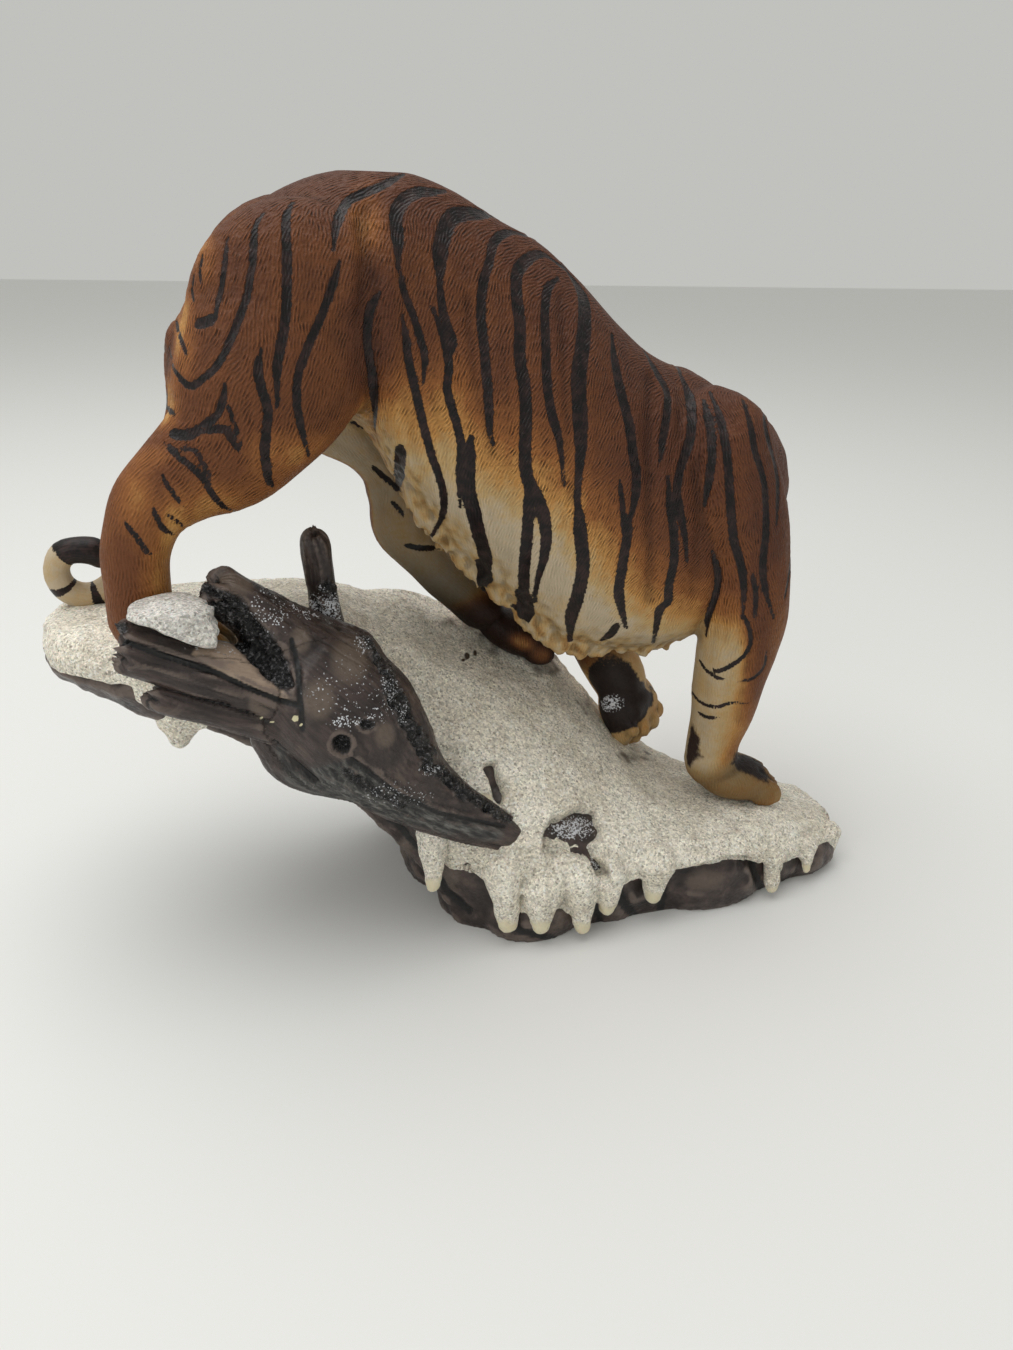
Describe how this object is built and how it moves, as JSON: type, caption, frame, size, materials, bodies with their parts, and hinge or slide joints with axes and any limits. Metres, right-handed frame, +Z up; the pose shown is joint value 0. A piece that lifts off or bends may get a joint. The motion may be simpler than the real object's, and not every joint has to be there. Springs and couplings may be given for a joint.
{
  "type": "tiger figurine on a snowy log and rock base",
  "caption": "Painted resin tiger creeping down a forked, snow-covered log that rests on a flat-bottomed rock base.",
  "frame": {"origin": "middle of the figurine's outline seen from above, on the plane that it stands on", "axes": "+X the way the tiger walks, +Y to the tiger's left, +Z up"},
  "size_m": [0.291, 0.1363, 0.2469],
  "materials": {
    "tiger_coat": "satin painted resin, carved fur",
    "dark_wood_and_rock": "semi-gloss painted resin, carved bark and rock",
    "snow": "gritty off-white snow with fine glitter"
  },
  "bodies": {
    "root": {"tiger": "tiger_coat", "base": "dark_wood_and_rock", "snow_drift": "snow", "snow_block": "snow"}
  },
  "joints": []
}
